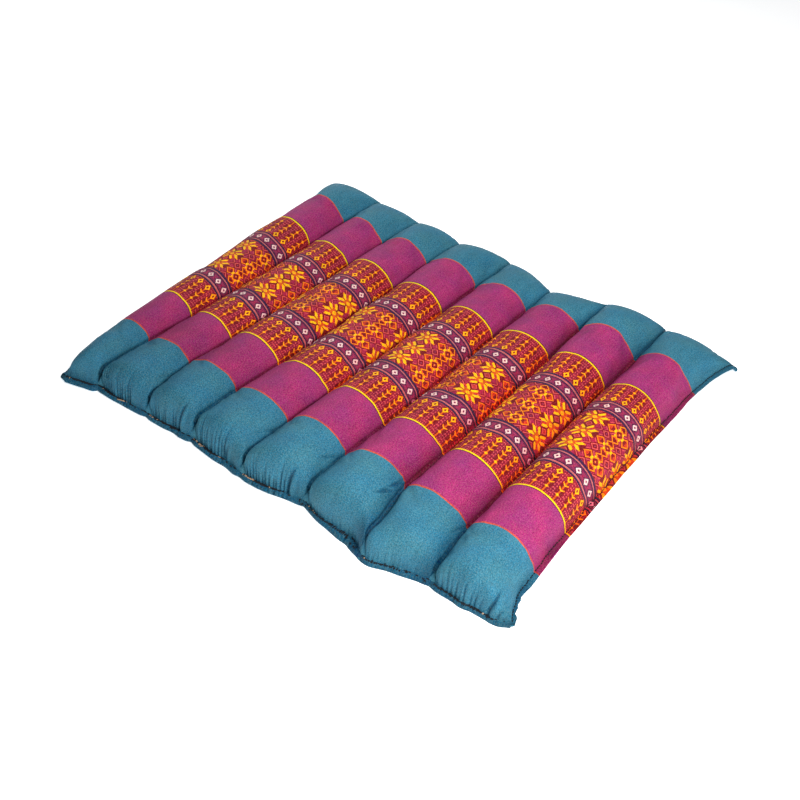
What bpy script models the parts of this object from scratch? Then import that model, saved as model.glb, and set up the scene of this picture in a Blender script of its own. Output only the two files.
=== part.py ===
# Seat cushion of eight stuffed rolls sewn side by side.
#
# Metres, Z up. X runs across the rolls and Y along them, with the front at -Y. The tables below are in
# millimetres, with y = 0 on the middle line of the woven pattern; the finished cushion is then moved so that
# the middle of its box stands over the origin, with its underside on z = 0.
#
# The cushion is one filled solid: a crowned top, an underside pressed flat where it rests, a sewn channel
# between each two rolls, and the flat lip where the two covers are hemmed together all round.

import bpy
import numpy as np

MM = 0.001

# One row for each line of stitching, left to right: the left side seam, seven channels, the right side seam.
# x place, height of the cloth at the front, middle and back stations, y of its front and back ends, and how
# far its front and back ends are pulled sideways.
SEAM_COLUMNS = ("x", "front_z", "middle_z", "back_z", "front_y", "back_y", "front_pull", "back_pull")
SEAMS = (
    (-248.0, 5.0, 12.0, 23.0, -224.0, 228.0, 20.0, -4.0),
    (-190.0, 20.0, 20.0, 25.0, -215.0, 230.0, 0.0, 0.0),
    (-134.0, 22.0, 20.0, 21.0, -212.0, 230.5, 6.0, 0.0),
    (-73.0, 23.0, 18.0, 19.0, -209.0, 225.0, 0.0, 0.0),
    (-10.0, 21.0, 18.0, 17.0, -214.0, 234.5, 0.0, 0.0),
    (55.0, 21.0, 18.0, 19.0, -204.0, 213.5, 0.0, 0.0),
    (119.0, 24.0, 21.0, 27.0, -219.5, 226.5, 8.0, 0.0),
    (183.0, 17.0, 19.0, 19.0, -207.0, 236.5, 4.0, 0.0),
    (245.0, 7.0, 15.0, 13.0, -207.0, 235.0, 6.0, 11.0),
)

# One row for each roll, left to right: crown above its two seams at the three stations, where across the roll
# its front end is creased (0 to 1), and how deep that crease is.
ROLL_COLUMNS = ("front_crown", "middle_crown", "back_crown", "crease_at", "crease_depth")
ROLLS = (
    (24.0, 26.0, 27.0, 0.60, 0.6),
    (16.0, 17.0, 19.0, 0.56, 1.0),
    (19.0, 20.0, 22.0, 0.68, 2.6),
    (17.0, 21.0, 24.0, 0.62, 1.6),
    (23.0, 21.0, 21.0, 0.70, 2.8),
    (21.0, 21.0, 18.0, 0.60, 0.8),
    (17.0, 22.0, 25.0, 0.66, 1.2),
    (27.0, 29.0, 23.5, 0.74, 2.0),
)

STATION_Y = 150.0         # the front and back stations lie this far from the middle one
SHEET = 3.0               # two covers and the hem, sewn flat together
SEAM_HEIGHT = 4.0         # middle of the sheet where the rolls end
LIP_WIDTH = 5.0           # flat lip outside the closing seam
LIP_DROP = 0.8            # how much lower the lip's outer edge lies
CROWN_ROUNDNESS = 1.65    # 2 is half an ellipse; less is a narrower crown between wider valleys
REST_PRESS = 4.0          # how far the underside is pressed in by the surface it lies on
END_BULGE = 2.0           # how far a roll's end stands out past its seams

# How the rolls close at their ends: length of the fall at a channel and at a crown, and its sharpness.
CHANNEL_FALL = 14.0
FRONT_FALL, FRONT_SHARPNESS = 20.0, 2.9
BACK_FALL, BACK_SHARPNESS = 75.0, 1.9
PULL_START, PULL_LENGTH = 145.0, 60.0
CREASE_HALF_WIDTH = 0.09  # part of a roll's width
CREASE_LENGTH = 42.0

# Where the mesh has its columns across a roll, and its rows along one. The end rows are parts of the way
# from the last straight row to the seam.
COLUMNS = (0.0, 0.05, 0.14, 0.28, 0.43, 0.57, 0.66, 0.75, 0.86, 0.95)
CREASE_COLUMN = 0.66
STRAIGHT_ROWS = (-150.0, -92.0, -46.0, 0.0, 46.0, 92.0, 150.0)
END_ROWS = (0.26, 0.48, 0.66, 0.80, 0.90, 0.96, 1.0)

# Cloth bands by their distance from the middle line, from the middle outwards.
BANDS = (
    ("woven_centre", 92.0, (0.33, 0.04, 0.06), 0.85),
    ("plain_magenta", 150.0, (0.42, 0.05, 0.20), 0.85),
    ("plain_teal", 1000.0, (0.04, 0.20, 0.30), 0.85),
)


def column(rows, names, name):
    return np.array([row[names.index(name)] for row in rows])


def seam(name):
    return column(SEAMS, SEAM_COLUMNS, name)


def roll(name):
    return column(ROLLS, ROLL_COLUMNS, name)


def mix(values, index, share):
    """Value between one seam and the next."""
    return values[index] * (1.0 - share) + values[index + 1] * share


def along(front, middle, back, y):
    """Quadratic through the three stations, held beyond them."""
    t = np.clip(y / STATION_Y, -1.15, 1.15)
    return middle + (back - front) / 2.0 * t + ((front + back) / 2.0 - middle) * t * t


def ease(t):
    t = np.clip(t, 0.0, 1.0)
    return t * t * (3.0 - 2.0 * t)


def end_fall(distance, length, sharpness):
    """0 on the closing seam, rising to 1 over the length of the fall."""
    u = np.clip(distance / length, 0.0, 1.0)
    return (1.0 - (1.0 - u) ** sharpness) ** (1.0 / sharpness)


def mesh_columns():
    """Roll index and share across it for each column, the crease column moved to the roll's own crease."""
    index, share = [], []
    for number, crease_at in enumerate(roll("crease_at")):
        for q in COLUMNS:
            below = q * crease_at / CREASE_COLUMN
            above = 1.0 - (1.0 - q) * (1.0 - crease_at) / (1.0 - CREASE_COLUMN)
            index.append(number)
            share.append(below if q <= CREASE_COLUMN else above)
    index.append(len(ROLLS) - 1)
    share.append(1.0)
    return np.array(index), np.array(share)


def mesh_rows(front_y, back_y):
    """The y of every row along every column, as columns by rows."""
    first, last = STRAIGHT_ROWS[0], STRAIGHT_ROWS[-1]
    rows = [first + (front_y - first) * part for part in reversed(END_ROWS)]
    rows += [np.full_like(front_y, y) for y in STRAIGHT_ROWS]
    rows += [last + (back_y - last) * part for part in END_ROWS]
    return np.stack(rows, axis=1)


def covers():
    """Top and underside points of the stuffed part, each as columns by rows by xyz, in millimetres."""
    index, share = mesh_columns()
    bulge = END_BULGE * (1.0 - (2.0 * share - 1.0) ** 2)
    front_y = mix(seam("front_y"), index, share) - bulge
    back_y = mix(seam("back_y"), index, share) + bulge
    y = mesh_rows(front_y, back_y)
    index, share, front_y, back_y = (a[:, None] for a in (index, share, front_y, back_y))

    x = mix(seam("x"), index, share)
    x = x + mix(seam("front_pull"), index, share) * ease((-PULL_START - y) / PULL_LENGTH)
    x = x + mix(seam("back_pull"), index, share) * ease((y - PULL_START) / PULL_LENGTH)

    height = [along(*values, y) for values in zip(seam("front_z"), seam("middle_z"), seam("back_z"))]
    height = np.array(height)
    at_row = np.arange(y.shape[1])[None, :]
    at_column = np.arange(y.shape[0])[:, None]
    channel = height[index, at_column, at_row] * (1.0 - share) + height[index + 1, at_column, at_row] * share

    crowns = (roll(name)[index] for name in ("front_crown", "middle_crown", "back_crown"))
    crown = along(*crowns, y)
    dome = (1.0 - np.abs(2.0 * share - 1.0) ** CROWN_ROUNDNESS) ** (1.0 / CROWN_ROUNDNESS)

    front = end_fall(y - front_y, CHANNEL_FALL + (FRONT_FALL - CHANNEL_FALL) * dome, FRONT_SHARPNESS)
    back = end_fall(back_y - y, CHANNEL_FALL + (BACK_FALL - CHANNEL_FALL) * dome, BACK_SHARPNESS)
    full = front * back

    away = np.abs(share - roll("crease_at")[index]) / CREASE_HALF_WIDTH
    crease = roll("crease_depth")[index] * np.clip(1.0 - away, 0.0, 1.0)
    crease = crease * ease(1.0 - (y - front_y) / CREASE_LENGTH) * full

    seam_top = SEAM_HEIGHT + SHEET / 2.0
    seam_bottom = SEAM_HEIGHT - SHEET / 2.0
    top = seam_top + (channel + crown * dome - seam_top) * full - crease
    pressed = (channel - SHEET) * (1.0 - dome) - REST_PRESS * dome
    bottom = np.maximum(seam_bottom + (pressed - seam_bottom) * full, 0.0)
    return np.stack([x, y, top], axis=-1), np.stack([x, y, bottom], axis=-1)


def with_lip(points, drop):
    """Adds the lip's outer edge round a grid of points, in line with the grid and a little lower."""
    framed = np.pad(points, ((1, 1), (1, 1), (0, 0)), mode="edge")
    framed[0, :, 0] -= LIP_WIDTH
    framed[-1, :, 0] += LIP_WIDTH
    framed[:, 0, 1] -= LIP_WIDTH
    framed[:, -1, 1] += LIP_WIDTH
    framed[0, :, 2] -= drop
    framed[-1, :, 2] -= drop
    framed[1:-1, 0, 2] -= drop
    framed[1:-1, -1, 2] -= drop
    return framed


def grid_faces(start, columns, rows, upward):
    """Quads of a grid of points stored column by column from a start index."""
    faces = []
    for i in range(columns - 1):
        for j in range(rows - 1):
            a = start + i * rows + j
            face = (a, a + rows, a + rows + 1, a + 1)
            faces.append(face if upward else face[::-1])
    return faces


def rim_loop(columns, rows):
    """Point numbers round the edge of a grid, anticlockwise seen from above."""
    front = [i * rows for i in range(columns)]
    right = [(columns - 1) * rows + j for j in range(1, rows)]
    back = [i * rows + rows - 1 for i in range(columns - 2, -1, -1)]
    left = list(range(rows - 2, 0, -1))
    return front + right + back + left


def cushion_mesh():
    top, bottom = covers()
    top = with_lip(top, LIP_DROP)
    bottom = with_lip(bottom, LIP_DROP)
    columns, rows = top.shape[:2]
    count = columns * rows
    points = np.concatenate([top.reshape(count, 3), bottom.reshape(count, 3)])

    faces = grid_faces(0, columns, rows, True) + grid_faces(count, columns, rows, False)
    rim = rim_loop(columns, rows)
    for here, following in zip(rim, rim[1:] + rim[:1]):
        faces.append((here, here + count, following + count, following))

    lows, highs = points.min(axis=0), points.max(axis=0)
    points = (points - ((lows[0] + highs[0]) / 2.0, (lows[1] + highs[1]) / 2.0, 0.0)) * MM
    mesh = bpy.data.meshes.new("cushion")
    mesh.from_pydata(points.tolist(), [], faces)
    middle = -(lows[1] + highs[1]) / 2.0 * MM
    return mesh, middle


def cloth_material(name, colour, roughness):
    material = bpy.data.materials.new(name)
    material.use_nodes = True
    shader = material.node_tree.nodes["Principled BSDF"]
    shader.inputs["Base Color"].default_value = (*colour, 1.0)
    shader.inputs["Roughness"].default_value = roughness
    shader.inputs["Metallic"].default_value = 0.0
    return material


def paint_bands(mesh, middle):
    """One cloth colour for each band across the rolls, the same on both sides of the pattern's middle."""
    for name, edge, colour, roughness in BANDS:
        mesh.materials.append(cloth_material(name, colour, roughness))
    edges = [edge * MM for name, edge, colour, roughness in BANDS]
    for face in mesh.polygons:
        distance = abs(face.center.y - middle)
        face.material_index = next(i for i, edge in enumerate(edges) if distance < edge)


def make_cushion():
    mesh, middle = cushion_mesh()
    paint_bands(mesh, middle)
    mesh.shade_smooth()
    cushion = bpy.data.objects.new("cushion", mesh)
    bpy.context.scene.collection.objects.link(cushion)
    return cushion


for old in list(bpy.data.objects):
    bpy.data.objects.remove(old)
make_cushion()
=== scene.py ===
import math

import bpy
import numpy as np
from mathutils import Matrix, Vector


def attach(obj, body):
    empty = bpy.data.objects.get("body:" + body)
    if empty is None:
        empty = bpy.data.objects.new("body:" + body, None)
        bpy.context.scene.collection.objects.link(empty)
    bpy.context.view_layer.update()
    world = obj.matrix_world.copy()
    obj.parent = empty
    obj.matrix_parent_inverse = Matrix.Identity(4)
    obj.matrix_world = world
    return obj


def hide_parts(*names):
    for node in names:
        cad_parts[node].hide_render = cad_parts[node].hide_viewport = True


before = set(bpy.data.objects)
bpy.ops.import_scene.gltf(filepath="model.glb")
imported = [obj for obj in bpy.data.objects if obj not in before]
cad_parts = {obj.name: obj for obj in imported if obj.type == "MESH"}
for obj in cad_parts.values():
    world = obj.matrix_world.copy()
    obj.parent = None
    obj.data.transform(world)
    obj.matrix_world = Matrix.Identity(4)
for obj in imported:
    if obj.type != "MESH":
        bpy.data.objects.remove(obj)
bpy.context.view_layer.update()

mm = 0.001
tableShift = np.array((-2.0, -6.887, 0.0))  # from the tables below to the finished cushion, in mm
draws = np.random.default_rng(41)


# The cushion. Tables are in mm, y = 0 near the middle of the woven pattern, one row for each line of
# stitching from left to right.
seams = np.array((
    (-248, 5, 12, 23, -224, 228, 0, -4),
    (-190, 20, 20, 25, -215, 230, 0, 0),
    (-134, 22, 20, 21, -212, 230.5, 6, 0),
    (-73, 23, 18, 19, -209, 225, 0, 0),
    (-10, 21, 18, 17, -214, 234.5, 0, 0),
    (55, 21, 18, 19, -204, 213.5, 0, 0),
    (119, 24, 21, 27, -219.5, 226.5, 8, 0),
    (183, 17, 19, 19, -207, 236.5, 4, 0),
    (245, 7, 15, 13, -206, 235, 0, 0),
))
seamX, seamFront, seamMiddle, seamBack, frontEnd, backEnd, frontPull, backPull = seams.T
# One row for each roll.
rolls = np.array((
    (24, 26, 27, 40.4, 0.5),
    (16, 17, 19, 42.2, 0.8),
    (19, 20, 22, 61.9, 0.8),
    (17, 21, 24, 21.8, 0.6),
    (23, 21, 21, 35.8, 1.2),
    (21, 21, 18, 50.3, -2.4),
    (17, 22, 25, 66.8, -0.2),
    (27, 29, 23.5, 35.2, -0.6),
))
crownFront, crownMiddle, crownBack, firstStar, frontBulge = rolls.T
# How far each line across the cloth lies off its even place, one row for each roll: the teal edge, yellow
# line and diamonds at the front, then the same at the back. The second table adds a lean across the roll.
lineY = (-150.5, -89.7, -44.3, 44.3, 89.7, 150.5)
drift = np.array((
    (1.5, -0.5, 1.5, -0.5, 1.2, 0.5),
    (2, -1.5, 0.5, 0, 0.6, 0.8),
    (0.5, -1, 0, 0, 0.9, 1.4),
    (0.8, -2.5, -1, -1.7, 1.3, 3),
    (0.6, -3.2, -2, -1, 1.2, 3.2),
    (1.6, -2.4, -1.1, -2.9, 1.3, 2.4),
    (1.3, -2.4, -3, -3.7, 0.3, 1.3),
    (4, -5.4, -5.2, -2.6, -4.8, 6.2),
))
lean = np.array((
    (4, -1, 0, 0, -1, 0),
    (0.5, -2, -3, 0, -1.5, 0),
    (0, -2.5, 0, 0, 0.5, 2),
    (0, -1, -1, 0, 2.5, 7),
    (3, -2.5, -5, -4.5, -3.5, 2),
    (3.5, -2.5, 0, -3.5, -2, -3),
    (2.5, -5, -6, -2, 0, 3),
    (7, 3, -3, 0, 0.5, -3),
))
cushion = {
    "columnsPerRoll": 84,
    "rows": (18, 26, 72, 12, 18),  # front fall, front, middle, back, back fall
    "stationY": 150.0,
    "backStart": 135.0,
    "seamTop": 5.0,
    "seamBottom": 2.6,
    "coverGap": 1.2,  # between the two covers in a channel
    "roundness": 1.65,
    "restPress": 4.0,
    "backBulge": 3.5,
    "leftBow": (2.8, -20.0, 90.0),  # outward on the left side: how far, from which y, over what length
    "frontLeftPull": (23.5, 290.0),  # sideways pull at three corners and how far back it reaches
    "frontRightPull": (13.5, 86.0),
    "backRightPull": (14.0, 118.0),
    "rightOut": 0.4,
    "rightPinch": (2.0, -176.0, 17.0),  # depth, place and length of the dip beside the front right corner
    "channelFall": 14.0,
    "frontFall": (20.0, 2.9),  # length and sharpness
    "backFall": (75.0, 1.9),
    "pullStart": 145.0,
    "pullLength": 60.0,
    "patternMiddle": -1.3,
    "grooveDepth": 2.4,  # along every channel, in both covers
    "grooveReach": 3.4,
    "grooveStart": 8.0,  # from the closing seam to where the underside's groove is full
    "endGroove": 4.2,  # where a channel turns down at the front and back
    "endGrooveFade": (3.0, 14.0, 26.0),  # mm to begin over, mm before the fade, mm of the fade
}
# Painted shade, one row for each roll: how much it darkens its right flank by the channel, over how many
# mm, its left flank and the whole of its front third.
paintedShadeOfRolls = np.array((
    (0.25, 11, 0, 0.2),
    (0.25, 11, 0, 0.26),
    (0.34, 11, 0, 0.22),
    (0.36, 11, 0, 0.12),
    (0.45, 12, 0.05, 0.06),
    (0.8, 15, 0.14, 0),
    (0.8, 15, 0.58, 0),
    (0.3, 11, 0.58, 0),
))
# Painted shade: reach on the left flank, amount and reach at both ends, amount on the hem, how much
# creases get and its cap, and the fade of the front third.
paintedShadeRules = {
    "leftReach": 6.0,
    "atEnds": 0.40,
    "endReach": 4.0,
    "onHem": 0.40,
    "inCreases": 0.75,
    "deepest": 0.7,
    "frontThird": (-70.0, 70.0),  # from which y, over what length
}
# Bumps and hollows of the front seam: place in rolls from the left, mm outward, half width in rolls.
frontBumps = (
    (1.1, -1.2, 0.15),
    (2.6, -1.2, 0.14),
    (3.72, -1.8, 0.16),
    (4.7, -1, 0.2),
    (5.28, 2.6, 0.2),
    (5.78, -3.6, 0.17),
    (6.16, 3, 0.17),
    (6.85, -2, 0.2),
    (7.42, 1.6, 0.08),
    (8, -5, 0.1),
)
# Gathers at the front end of each roll: first and last place across it (0 to 1), number, reach and depth.
gathers = (
    (0.15, 0.6, 8, 8, 0.6),
    (0.07, 0.66, 13, 17, 2.7),
    (0.08, 0.62, 12, 12, 2),
    (0.05, 0.62, 12, 21, 2.9),
    (0.06, 0.7, 14, 17, 2.5),
    (0.05, 0.8, 14, 9, 1),
    (0.06, 0.76, 13, 8, 0.9),
    (0.08, 0.62, 10, 17, 1.7),
)
# Single folds at the front ends: roll, place across it, lean along the fold, depth, length.
folds = (
    (2, 0.71, 3, 3.2, 34),
    (3, 0.66, 1, 1.8, 18),
    (4, 0.72, 2, 3, 32),
    (5, 0.88, 0, 1, 14),
    (6, 0.56, 0, -1, 16),
    (7, 0.73, 2, 3, 28),
    (7, 0.84, 1, 1.2, 13),
    (7, 0.91, 0.5, 0.8, 9),
)
# Short slanting creases beside the channels: roll, place across it, y, turn in degrees, depth, length.
strokes = (
    (5, 0.88, -162, 62, 2.2, 12),
    (5, 0.84, -174, 48, 1.9, 10),
    (5, 0.9, -153, 68, 1.6, 8),
    (6, 0.92, -158, 66, 1, 10),
    (4, 0.9, -168, 60, 0.9, 9),
    (3, 0.92, -176, 64, 0.9, 9),
    (1, 0.92, -182, 60, 0.9, 9),
    (2, 0.1, -186, -58, 0.8, 8),
    (6, 0.9, 168, -55, 0.9, 10),
    (3, 0.88, 176, -50, 0.8, 10),
)
creases = {
    "gatherWidth": 0.85,
    "gatherJitter": 0.006,
    "mound": 0.45,  # between the gathers, as a share of their depth
    "backGathers": 9,
    "backReach": (9.0, 22.0),
    "backDepth": (0.4, 1.1),
    "backWidth": 1.4,
    "foldWidth": 1.3,
    "foldRidge": (0.45, 2.4, 1.8),  # height by the depth, place and width by the fold's width
    "strokeWidth": 1.5,
    "strokeRidge": (0.5, 3.4, 2.4),  # height by the depth, place and width in mm
    "pucker": 0.30,  # at each stitch of a channel
    "puckerReach": 2.6,
    "lumps": (0.55, 3.0, 1.3, 9.0),  # the filling: height, blur and reach of small lumps by the channels
    "swells": (0.75, 14.0, 5.0, 14.0),  # and of wide ones on the crowns
}
hem = {
    "rings": (0.10, 0.28, 0.52, 0.78, 0.94, 1.0),
    "rise": (0.10, 0.30, 0.30, 0.0, -0.6, -1.3),
    "under": (0.0, -0.2, -0.3, -0.3, 0.0, 0.6),
    "width": 5.2,
    "frontPlaces": (0.5, 1.5, 2.5, 3.5, 4.5, 5.1, 5.4, 5.65, 5.85, 6.1, 7.3, 7.75, 8.0),
    "frontWidths": (7.2, 3.4, 3.8, 4.4, 4.6, 3.2, 4.6, 7.4, 6.6, 3.6, 3.4, 2.0, 1.6),
    "frontDrops": (1.0, 1.4, 1.6, 1.6, 1.9, 2.8, 3.0, 3.0),
    "backDrop": 0.3,
    "endWave": 0.16,  # how much its width varies
    "sideWave": 0.12,
    "tuckReach": 0.07,  # narrowing where a channel ends, in rolls
    "endTuck": (0.35, 0.30),
    "endLift": (0.4, 0.5),  # how much it rises and falls at the front and the back
    "sideLift": 0.4,
    "curl": (-190.0, 26.0, 9.0),  # front right corner: y, length, length of a ripple
    "curlNarrow": (0.42, 0.14),  # how much narrower it is there, and how much that ripples
    "curlLift": (1.6, 1.2),  # how much higher, and how much that ripples
    "cornerLift": (0.0, 0.6, 0.0, 0.3),
}
ringCount = len(hem["rings"])


# Bell curve exp(-(distance / width)^2).
def bell(distance, width):
    return np.exp(-(distance / width) ** 2)


def ease(t):
    t = np.clip(t, 0.0, 1.0)
    return t * t * (3.0 - 2.0 * t)


# What a Gaussian blur, given in grid steps, keeps of each wave in a grid: exp(-2 pi^2 (fx^2 + fy^2)).
def blurKeeps(shape, blurColumns, blurRows):
    fx = np.fft.fftfreq(shape[0])[:, None] * blurColumns
    fy = np.fft.rfftfreq(shape[1])[None, :] * blurRows
    return np.exp(-2.0 * np.pi ** 2 * (fx * fx + fy * fy))


def blurGrid(field, blurColumns, blurRows):
    pad = 24
    wide = np.pad(field, ((pad, pad), (pad, pad), (0, 0)), mode="reflect")
    waves = np.fft.rfft2(wide, axes=(0, 1)) * blurKeeps(wide.shape, blurColumns, blurRows)[..., None]
    return np.fft.irfft2(waves, s=wide.shape[:2], axes=(0, 1))[pad:-pad, pad:-pad]


# Value between a roll's left seam and its right seam.
def between(values, roll, share):
    return values[roll] * (1.0 - share) + values[roll + 1] * share


# Quadratic through the front, middle and back stations.
def along(front, middle, back, y):
    t = np.clip(y / cushion["stationY"], -1.15, 1.15)
    return middle + (back - front) / 2.0 * t + ((front + back) / 2.0 - middle) * t * t


# Superellipse from 0 on the closing seam to 1 where the fall ends.
def fall(distance, length, sharpness):
    u = np.clip(distance / length, 0.0, 1.0)
    return (1.0 - (1.0 - u) ** sharpness) ** (1.0 / sharpness)


# Roll number and share of each column. Columns crowd towards the channels: q = t - 0.06 sin(2 pi t).
def coverColumns():
    count = cushion["columnsPerRoll"]
    t = np.arange(count) / count
    share = t - 0.06 * np.sin(2.0 * np.pi * t)
    roll = np.repeat(np.arange(len(rolls)), count)
    return np.append(roll, len(rolls) - 1), np.append(np.tile(share, len(rolls)), 1.0)


# Dome across a roll: (1 - |2q - 1|^n)^(1/n), 0 in the channels and 1 on the crest.
def domeOf(share):
    n = cushion["roundness"]
    return (1.0 - np.abs(2.0 * share - 1.0) ** n) ** (1.0 / n)


# Places along an end fall of length 1, even along its curve: 1 - cos(a)^(2/n), a from 0 to a right angle.
def fallRows(count, sharpness):
    a = np.linspace(0.0, np.pi / 2.0, count + 1)
    return 1.0 - np.clip(np.cos(a), 0.0, 1.0) ** (2.0 / sharpness)


# The y of every row: even along both end falls, and evenly spaced between them.
def coverRows(frontY, backY, dome):
    fallF, straightF, middle, straightB, fallB = cushion["rows"]
    lengthF, sharpF = cushion["frontFall"]
    lengthB, sharpB = cushion["backFall"]
    endF = frontY + cushion["channelFall"] + (lengthF - cushion["channelFall"]) * dome
    endB = backY - cushion["channelFall"] - (lengthB - cushion["channelFall"]) * dome
    first, last = -cushion["stationY"], cushion["backStart"]
    return np.concatenate([
        frontY + (endF - frontY) * fallRows(fallF, sharpF),
        endF + (first - endF) * np.linspace(0.0, 1.0, straightF + 1)[1:],
        np.broadcast_to(np.linspace(first, last, middle + 1)[1:], (len(frontY), middle)),
        last + (endB - last) * np.linspace(0.0, 1.0, straightB + 1)[1:],
        backY - (backY - endB) * fallRows(fallB, sharpB)[-2::-1],
    ], axis=1)


# Pull towards an end: amount x (1 - distance / reach)^3.
def endPull(distance, pull):
    amount, reach = pull
    return amount * np.clip(1.0 - distance / reach, 0.0, 1.0) ** 3


# Both covers as columns by rows by xyz, in mm. Height = seam + (channel + crown x dome - seam) x fall.
def coverForms():
    roll, share = (a[:, None] for a in coverColumns())
    dome = domeOf(share)
    middling = 1.0 - (2.0 * share - 1.0) ** 2
    frontY = between(frontEnd, roll, share) - frontBulge[roll] * middling
    for place, outward, halfWidth in frontBumps:
        frontY = frontY - outward * bell(roll + share - place, halfWidth)
    backY = between(backEnd, roll, share) + cushion["backBulge"] * middling
    y = coverRows(frontY, backY, dome)
    x = between(seamX, roll, share)
    x = x + between(frontPull, roll, share) * ease((-cushion["pullStart"] - y) / cushion["pullLength"])
    x = x + between(backPull, roll, share) * ease((y - cushion["pullStart"]) / cushion["pullLength"])
    bow, bowStart, bowLength = cushion["leftBow"]
    leftIn = endPull(y - frontY, cushion["frontLeftPull"]) - bow * ease((y - bowStart) / bowLength)
    x = x + np.where(roll == 0, 1.0 - share, 0.0) * leftIn
    pinch, pinchY, pinchLength = cushion["rightPinch"]
    rightward = cushion["rightOut"] - pinch * bell(y - pinchY, pinchLength)
    rightward = rightward + endPull(y - frontY, cushion["frontRightPull"])
    rightward = rightward + endPull(backY - y, cushion["backRightPull"])
    x = x + np.where(roll == len(rolls) - 1, share, 0.0) * rightward
    left, right = (along(seamFront[k], seamMiddle[k], seamBack[k], y) for k in (roll, roll + 1))
    channel = left * (1.0 - share) + right * share
    crown = along(crownFront[roll], crownMiddle[roll], crownBack[roll], y)
    small = cushion["channelFall"]
    full = fall(y - frontY, small + (cushion["frontFall"][0] - small) * dome, cushion["frontFall"][1])
    full = full * fall(backY - y, small + (cushion["backFall"][0] - small) * dome, cushion["backFall"][1])
    top = cushion["seamTop"] + (channel + crown * dome - cushion["seamTop"]) * full
    pressed = (channel - cushion["coverGap"]) * (1.0 - dome) - cushion["restPress"] * dome
    bottom = np.maximum(cushion["seamBottom"] + (pressed - cushion["seamBottom"]) * full, 0.0)
    return np.stack([x, y, top], axis=-1), np.stack([x, y, bottom], axis=-1)


# Outward unit normals of a grid of points, from the cross product of its two directions.
def gridNormals(points):
    normal = np.cross(np.gradient(points, axis=0), np.gradient(points, axis=1))
    return normal / np.maximum(np.linalg.norm(normal, axis=-1, keepdims=True), 1e-9)


# Running length along one direction of a grid or line of points.
def runningLength(points, axis):
    step = np.linalg.norm(np.diff(points, axis=axis), axis=-1)
    pad = [(0, 0)] * step.ndim
    pad[axis] = (1, 0)
    return np.pad(np.cumsum(step, axis=axis), pad)


# Smooth seeded noise on a grid: blurred random numbers, about -1 to 1.
def smoothNoise(shape, blurColumns, blurRows):
    waves = np.fft.rfft2(draws.normal(size=shape)) * blurKeeps(shape, blurColumns, blurRows)
    field = np.fft.irfft2(waves, s=shape)
    return field / (2.0 * field.std())


# A fold in the cloth: groove -d exp(-(a/w)^2) with a low ridge beside it, fading along its length.
def foldShape(across, width, depth, distance, length):
    height, away, wide = creases["foldRidge"]
    groove = -depth * bell(across, width)
    ridge = height * depth * bell(across - away * width, wide * width)
    return (groove + ridge) * np.clip(1.0 - (distance / length) ** 2, 0.0, 1.0)


# Running lengths over the cloth: from the left and right channel, each roll's width, and from both ends.
def coverLengths(top):
    roll = coverColumns()[0]
    fromFront = runningLength(top, 1)
    across = runningLength(top, 0)
    starts = across[np.arange(len(rolls)) * cushion["columnsPerRoll"]]
    widths = np.append(starts[1:], across[-1:], axis=0) - starts
    fromLeft = across - starts[roll]
    return fromLeft, widths[roll] - fromLeft, widths, fromFront, fromFront[:, -1:] - fromFront


# 1 along the stitched channels, falling off to both sides, 0 along the two outer sides.
def channelBand(top, reach):
    roll, share = coverColumns()
    fromLeft, fromRight = coverLengths(top)[:2]
    inner = (roll > 0)[:, None] | (share > 0.5)[:, None]
    inner = inner & ((roll < len(rolls) - 1) | (share < 0.5))[:, None]
    return inner * bell(np.minimum(fromLeft, fromRight), reach)


def hugging(t):
    return np.exp(-t)


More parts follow.
